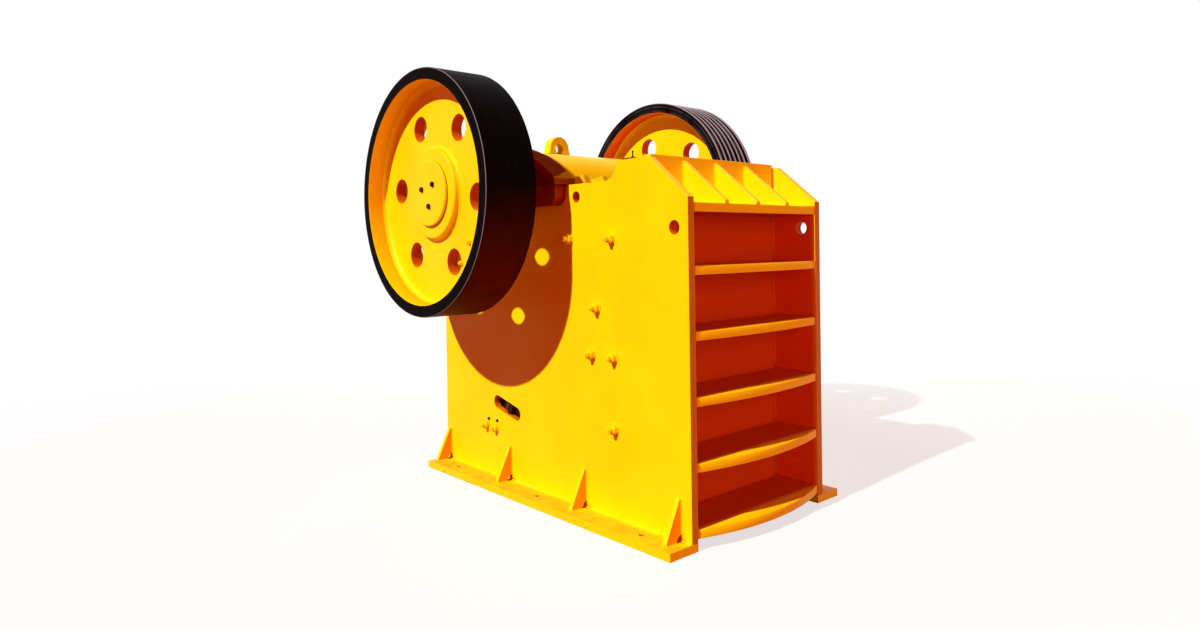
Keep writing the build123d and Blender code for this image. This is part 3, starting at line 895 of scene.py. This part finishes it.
def wheelWeb(name, side, nodeName, rimName, turn):
    centre, face, radius = rimOf(rimName)
    rimIn = radius - wheel["rimThickness"]
    webLow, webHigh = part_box(nodeName)
    depthOfHub = face - min(abs(webLow.x), abs(webHigh.x))
    front = wheel["webRecess"]
    back = front + wheel["webThickness"]
    fillet = wheel["rimFillet"]
    hub = wheel["hubFillet"]
    edge = wheel["hubRound"]
    shoulder = wheel["hubRadius"] - edge
    outline = [
        (wheel["hubRecess"], wheel["bore"]),
        (wheel["hubRecess"], shoulder),
        *arc((wheel["hubRecess"] + edge, shoulder), edge, 150, 90, 3),
        *arc((front - hub, wheel["hubRadius"] + hub), hub, -90, 0),
        *arc((front - fillet, rimIn - fillet), fillet, 0, 90),
        *arc((back + fillet, rimIn - fillet), fillet, 90, 180),
        *arc((back + hub, wheel["innerHubRadius"] + hub), hub, 180, 270),
        (depthOfHub, wheel["innerHubRadius"]),
        (depthOfHub, wheel["bore"]),
    ]
    web = turnedRing(outline, face, side, centre)
    cutters = []
    spots = []
    for index in range(wheel["holes"]):
        angle = math.radians(turn + index * 360 / wheel["holes"])
        place = (side * (face - (front + back) / 2), centre[0] + wheel["holeCircle"] * math.cos(angle),
                 centre[1] + wheel["holeCircle"] * math.sin(angle))
        spots.append(place[1:])
        deselect()
        bpy.ops.mesh.primitive_cylinder_add(vertices=wheel["holeSides"], radius=wheel["holeRadius"],
                                            depth=wheel["drill"], location=place,
                                            rotation=(0, math.pi / 2, 0))
        cutters.append(settle(bpy.context.object))
    cutAway(web, cutters)
    finishWheel(web, name, nodeName, wheel["webEdge"], 2, finishOf[slotOf[nodeName]])

    def inWebHole(item):
        away = min(math.hypot(item.center.y - y, item.center.z - z) for y, z in spots)
        return away < wheel["holeRadius"] + holeSlack and abs(item.normal.x) < wheel["holeWall"]

    # painted shade: each hole's wall takes an orange coat
    recoat(web, (recessShadeEnamel, inWebHole))


def wheelRim(name, side, nodeName, grooved):
    centre, face, radius = rimOf(nodeName)
    low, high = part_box(nodeName)
    width = high.x - low.x
    rimIn = radius - wheel["rimThickness"]
    outline = [(0.0, rimIn), (0.0, radius)]
    if grooved:
        top = wheel["grooveTop"] / 2
        bottom = wheel["grooveBottom"] / 2
        root = radius - wheel["grooveDepth"]
        for index in range(wheel["grooves"]):
            middle = width / 2 + wheel["groovePitch"] * (index - (wheel["grooves"] - 1) / 2)
            outline += [(middle - top, radius), (middle - bottom, root)]
            outline += [(middle + bottom, root), (middle + top, radius)]
    outline += [(width, radius), (width, rimIn)]
    rim = turnedRing(outline, face, side, centre)
    edge, coat = (wheel["grooveEdge"], beltEnamel) if grooved else (wheel["rimEdge"], rimEnamel)
    finishWheel(rim, name, nodeName, edge, 3, coat)


wheelRim("flywheelRim", -1, "flywheel_rim", False)
wheelWeb("flywheelWeb", -1, "flywheel_web", "flywheel_rim", wheel["flywheelTurn"])
wheelRim("sheaveRim", 1, "sheave_rim", True)
wheelWeb("sheaveWeb", 1, "sheave_web", "sheave_rim", wheel["sheaveTurn"])
print("wheels turned")


# bolts, nuts and studs, modelled once along +Z and copied
headShape = {
    "hexEdge": 0.05,  # parts of the width across flats
    "washerEdge": 0.001,
    "washerSides": 32,
    "studSunk": 0.002,
    "studChamfer": 0.1,  # parts of the stud's diameter
    "studSides": 24,
    "upwards": 0.9,
}


def hexPrism(across, low, high):
    prism = cylinder(across / 2 / math.cos(math.pi / 6), low, high, sides=6)
    return bevelled(prism, across * headShape["hexEdge"])


def boltHead(kit):
    # washer, hexagon with eased edges, and the stud's chamfered end standing out of it
    washer = cylinder(kit["washer"] / 2, 0, kit["washerThick"], headShape["washerSides"])
    top = kit["washerThick"] + kit["high"]
    parts = [bevelled(washer, headShape["washerEdge"]), hexPrism(kit["across"], kit["washerThick"], top)]
    if kit.get("stud"):
        chamfer = kit["stud"] * headShape["studChamfer"]
        stud = cylinder(kit["stud"] / 2, top - headShape["studSunk"], top + kit["studOut"],
                        headShape["studSides"])
        chosen(stud, "FACE", lambda face: face.normal.z > headShape["upwards"])
        bpy.ops.mesh.inset(thickness=chamfer)
        bpy.ops.transform.translate(value=(0, 0, chamfer))
        parts.append(done())
    return smooth(joined("boltPattern", parts))


def spread(name, kit, body, slotName, spots):
    # spots are (place, direction); the pattern is copied to each of them
    pattern = boltHead(kit)
    copies = [copyOf(pattern, place, turnTo(direction)) for place, direction in spots]
    bpy.data.objects.remove(pattern)
    return dress(joined(name, copies), body, finishOf[slotName])


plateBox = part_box("side_plate_left")
plateOut = -plateBox[0].x

cheekBolt = {
    "across": 0.046, "high": 0.024, "washer": 0.060, "washerThick": 0.005, "stud": 0.028, "studOut": 0.026,
    "places": [(0.545, 1.508), (0.891, 1.511), (0.670, 1.139), (0.714, 0.885), (0.538, 0.884),
               (0.536, 0.508)],
}
bracketBolt = {
    "across": 0.041, "high": 0.022, "washer": 0.052, "washerThick": 0.004, "stud": 0.024, "studOut": 0.022,
    "places": [(1.761, 0.340), (1.658, 0.335)],
}
setScrew = {
    "across": 0.017, "high": 0.008, "washer": 0.018, "washerThick": 0.002,
    "places": [(1.738, 0.383), (1.643, 0.383)],
}


def onSidePlates(places):
    # places are (distance behind the front edge, height), on both plates
    spots = []
    for side in (-1, 1):
        for back, height in places:
            spots.append(((side * plateOut, frontEdge + back, height), (side, 0, 0)))
    return spots


spread("cheekBolts", cheekBolt, "frame", "yellow_enamel", onSidePlates(cheekBolt["places"]))
spread("bracketBolts", bracketBolt, "frame", "yellow_enamel", onSidePlates(bracketBolt["places"]))
spread("setScrews", setScrew, "frame", "spring_steel", onSidePlates(setScrew["places"]))

hubBolt = {
    "across": 0.027, "high": 0.012, "washer": 0.029, "washerThick": 0.001,
    "circle": 0.075, "angles": (159, 42, -82),
}
hubLow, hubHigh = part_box("hub_caps")
shaftY = (hubLow.y + hubHigh.y) / 2
shaftZ = (hubLow.z + hubHigh.z) / 2
hubSpots = []
for side in (-1, 1):
    for angle in hubBolt["angles"]:
        turn = math.radians(angle)
        place = (side * hubHigh.x, shaftY - hubBolt["circle"] * math.cos(turn),
                 shaftZ + hubBolt["circle"] * math.sin(turn))
        hubSpots.append((place, (side, 0, 0)))
spread("hubCapBolts", hubBolt, "rotor", "cast_steel", hubSpots)

balanceBolt = {
    "across": 0.024, "high": 0.012, "washer": 0.026, "washerThick": 0.002, "stud": 0.012, "studOut": 0.008,
    "places": [(-0.351, -0.285), (-0.264, -0.402)],
}
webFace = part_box("flywheel_rim")[0].x + wheel["webRecess"]
spread("balanceBolts", balanceBolt, "rotor", "yellow_enamel",
       [((webFace, shaftY + y, shaftZ + z), (-1, 0, 0)) for y, z in balanceBolt["places"]])

capStud = {
    "across": 0.056, "high": 0.030, "washer": 0.072, "washerThick": 0.005, "stud": 0.034, "studOut": 0.010,
    "seat": 1.811, "archRadius": 1.116, "reach": 0.330, "inset": 0.050, "pocket": 0.040, "pocketDeep": 0.012,
    "pocketEdge": 0.002, "pocketFold": 50, "sides": 28,
}


def capStuds():
    # long studs hold the bearing caps down on their seats, one ahead of and one behind each bore,
    # with their nuts in round pockets that are faced level
    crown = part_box("bearing_cap_left")[1].z
    rise = capStud["archRadius"] - math.sqrt(capStud["archRadius"] ** 2 - capStud["reach"] ** 2)
    level = crown - rise - capStud["pocketDeep"]
    shanks = []
    spots = []
    for side, cap in ((-1, remade["bearing_cap_left"]), (1, remade["bearing_cap_right"])):
        x = side * (plateOut + capStud["inset"])
        cutters = []
        for along in (-1, 1):
            y = shaftY + along * capStud["reach"]
            spots.append(((x, y, level), (0, 0, 1)))
            shank = cylinder(capStud["stud"] / 2, capStud["seat"], level + capStud["washerThick"],
                             capStud["sides"])
            cutter = cylinder(capStud["pocket"], level, crown)
            for piece, made in ((shank, shanks), (cutter, cutters)):
                piece.location = (x, y, 0)
                made.append(settle(piece))
        cutAway(cap, cutters)
        bevelled(cap, capStud["pocketEdge"], angle=capStud["pocketFold"])
        evened(smooth(cap))
    dress(smooth(joined("capStudShanks", shanks)), "frame", turned)
    spread("capStudNuts", capStud, "frame", "yellow_enamel", spots)


capStuds()

greasePipe = {
    "across": 0.026, "nut": 0.016, "pipe": 0.010, "high": 0.058, "sunk": 0.002,
    "cap": 0.015, "capHigh": 0.012, "capEdge": 0.003,
}


def greasePipes():
    # a grease pipe with a screwed cap stands on the crown of each bearing cap
    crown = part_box("bearing_cap_left")[1].z
    top = crown + greasePipe["high"]
    parts = [
        hexPrism(greasePipe["across"], crown - greasePipe["sunk"], crown + greasePipe["nut"]),
        cylinder(greasePipe["pipe"] / 2, crown, top - greasePipe["sunk"], headShape["studSides"]),
        bevelled(cylinder(greasePipe["cap"] / 2, top - greasePipe["capHigh"], top, headShape["washerSides"]),
                 greasePipe["capEdge"]),
    ]
    pattern = joined("greasePattern", parts)
    pipes = [copyOf(pattern, (side * (plateOut + capStud["inset"]), shaftY, 0)) for side in (-1, 1)]
    bpy.data.objects.remove(pattern)
    dress(smooth(joined("greasePipes", pipes)), "frame", dipped)


greasePipes()

clampBolt = {
    "across": 0.036, "high": 0.020, "washer": 0.044, "washerThick": 0.004,
    "count": 4, "pitch": 0.240, "below": 0.029, "sunk": 0.005,
}
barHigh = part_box("fixed_jaw_bars")[1]
clampSpots = []
for index in range(clampBolt["count"]):
    x = (index - (clampBolt["count"] - 1) / 2) * clampBolt["pitch"]
    clampSpots.append(((x, barHigh.y - clampBolt["sunk"], barHigh.z - clampBolt["below"]), (0, 1, 0)))
spread("clampBolts", clampBolt, "frame", "cast_steel", clampSpots)
print("bolts placed")


# weld beads, one ripple modelled and repeated along each seam
bead = {
    "ripple": 0.009,
    "small": 0.006,
    "large": 0.010,
    "edge": 0.008,
    "tail": 0.78,  # a ripple's narrow end
    "sides": 8,
    "fold": 30,
}
# how far a bead stops short of the edge it runs towards, or lies behind it
stops = {
    "foot": 0.010,
    "shelf": 0.006,
    "edge": 0.005,
    "toe": 0.004,
    "top": 0.020,
    "rear": 0.024,
}


def weldBead(start, end, radius):
    start, end = Vector(start), Vector(end)
    length = (end - start).length
    count = max(2, round(length / bead["ripple"]))
    step = length / count
    ripple = cylinder(radius, 0, step, bead["sides"])
    chosen(ripple, "VERT", lambda corner: corner.co.z < step / 2)
    bpy.ops.transform.resize(value=(bead["tail"], bead["tail"], 1), center_override=(0, 0, 0))
    done()
    row = ripple.modifiers.new("row", "ARRAY")
    row.count = count
    row.use_relative_offset = False
    row.use_constant_offset = True
    row.constant_offset_displace = (0, 0, step)
    applied(ripple)
    ripple.location = start
    ripple.rotation_euler = turnTo(end - start)
    return settle(ripple)


def seams(name, runs, coat=enamel):
    # runs are (start, end, radius)
    beads = [weldBead(*run) for run in runs]
    return dress(smooth(joined(name, beads), bead["fold"]), "frame", coat)


def bothSides(runs):
    mirrored = []
    for start, end, radius in runs:
        mirrored.append((start, end, radius))
        mirrored.append(((-start[0], *start[1:]), (-end[0], *end[1:]), radius))
    return mirrored


plateIn = -plateBox[1].x
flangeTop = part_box("base_flange_left")[1].z
small = bead["small"]
large = bead["large"]
gussetLow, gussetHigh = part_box("base_gussets_left")
gusset = {
    "count": 4,
    "thick": 0.028,
    "cope": 0.036,
    "reach": 0.106,
}
footRuns = [((-plateOut, frontEdge + stops["foot"], flangeTop),
             (-plateOut, backEdge - stops["foot"], flangeTop), small)]
gussetPitch = (gussetHigh.y - gussetLow.y - gusset["thick"]) / (gusset["count"] - 1)
for index in range(gusset["count"]):
    for face in (0, gusset["thick"]):
        y = gussetLow.y + index * gussetPitch + face
        upright = ((-plateOut, y, flangeTop + gusset["cope"]), (-plateOut, y, gussetHigh.z), small)
        foot = ((-plateOut - gusset["cope"], y, flangeTop),
                (-plateOut - gusset["reach"], y, flangeTop), small)
        footRuns += [upright, foot]
seams("footWelds", bothSides(footRuns))

wallLow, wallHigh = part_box("front_wall")
shelfBoxes = [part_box(name) for name in sorted(nodes) if name.startswith("front_shelf")]
levels = sorted(shelfBoxes, key=lambda box: box[0].z)
shelfRuns = []
bay = []
for low, high in levels:
    for z in (low.z, high.z):
        shelfRuns.append(((-plateIn, wallLow.y, z), (plateIn, wallLow.y, z), small))
        bay.append(((-plateIn, wallLow.y, z), (-plateIn, frontEdge + stops["shelf"], z), small))
    edgeY = frontEdge + stops["edge"]
    bay.append(((-plateIn, edgeY, low.z), (-plateIn, edgeY, high.z), bead["edge"]))
for lower, upper in zip(levels, levels[1:]):
    bay.append(((-plateIn, wallLow.y, lower[1].z), (-plateIn, wallLow.y, upper[0].z), large))
bay.append(((-plateIn, wallLow.y, levels[-1][1].z), (-plateIn, wallLow.y, wallHigh.z - stops["top"]), large))
seams("shelfWelds", shelfRuns, bayShadeEnamel)
seams("bayWelds", bothSides(bay), recessShadeEnamel)

ribLow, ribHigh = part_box("top_ribs")
rib = {"count": 3, "pitch": 0.250, "thick": 0.030}
ribRuns = []
for index in range(rib["count"]):
    for face in (-1, 1):
        x = (index - (rib["count"] - 1) / 2) * rib["pitch"] + face * rib["thick"] / 2
        ribRuns.append(((x, ribLow.y + stops["toe"], ribLow.z), (x, ribHigh.y, ribLow.z), small))
        ribRuns.append(((x, ribHigh.y, ribLow.z), (x, ribHigh.y, ribHigh.z - stops["top"]), small))
seams("ribWelds", ribRuns)

rearLow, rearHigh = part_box("rear_wall")
rearShelfTops = (1.000, 0.700, 0.400)
shelfThick = levels[0][1].z - levels[0][0].z
rearRuns = []
uprights = [((-plateIn, rearHigh.y, rearLow.z), (-plateIn, rearHigh.y, rearHigh.z - shelfThick), large)]
for topZ in rearShelfTops:
    for z in (topZ - shelfThick, topZ):
        rearRuns.append(((-plateIn, rearHigh.y, z), (plateIn, rearHigh.y, z), small))
        uprights.append(((-plateIn, rearHigh.y, z), (-plateIn, backEdge - stops["rear"], z), small))
seams("rearWelds", rearRuns + bothSides(uprights))
print("weld beads run")


# tension rod gear at the back
coil = {"wire": 0.011, "turns": 7.0, "sides": 10, "stepsPerTurn": 28, "fold": 60}


def coilSpring():
    low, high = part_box("tension_spring")
    radius = (high.x - low.x) / 2 - coil["wire"]
    centreZ = (low.z + high.z) / 2
    length = high.y - low.y - 2 * coil["wire"]
    deselect()
    bpy.ops.mesh.primitive_circle_add(vertices=coil["sides"], radius=coil["wire"], location=(radius, 0, 0),
                                      rotation=(math.pi / 2, 0, 0))
    spring = settle(bpy.context.object)
    wind = spring.modifiers.new("wind", "SCREW")
    wind.axis = "Z"
    wind.angle = 2 * math.pi * coil["turns"]
    wind.screw_offset = length
    wind.steps = wind.render_steps = round(coil["stepsPerTurn"] * coil["turns"])
    wind.use_merge_vertices = False
    applied(spring)
    chosen(spring, "VERT", lambda corner: True)
    bpy.ops.mesh.normals_make_consistent(inside=False)
    done()
    spring.rotation_euler = (-math.pi / 2, 0, 0)
    spring.location = (0, low.y + coil["wire"], centreZ)
    settle(spring)
    smooth(spring, coil["fold"])
    spring.name = spring.data.name = "coilSpring"
    dress(spring, "frame", dipped)
    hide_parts("tension_spring")


rodNut = {
    "across": 0.052, "high": 0.026, "washer": 0.056, "washerThick": 0.004, "stud": 0.030, "studOut": 0.004,
    "inside": 0.001,
}


def rodLock():
    # lock nut and washer against the turned collar at the rod's end
    springLow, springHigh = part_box("tension_spring")
    reach = rodNut["washerThick"] + rodNut["high"] + rodNut["studOut"] + rodNut["inside"]
    place = (0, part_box("tension_rod")[1].y - reach, (springLow.z + springHigh.z) / 2)
    spread("rodLock", rodNut, bodyOf["tension_rod"], "machined_steel", [(place, (0, 1, 0))])


coilSpring()
rodLock()
print("spring wound")
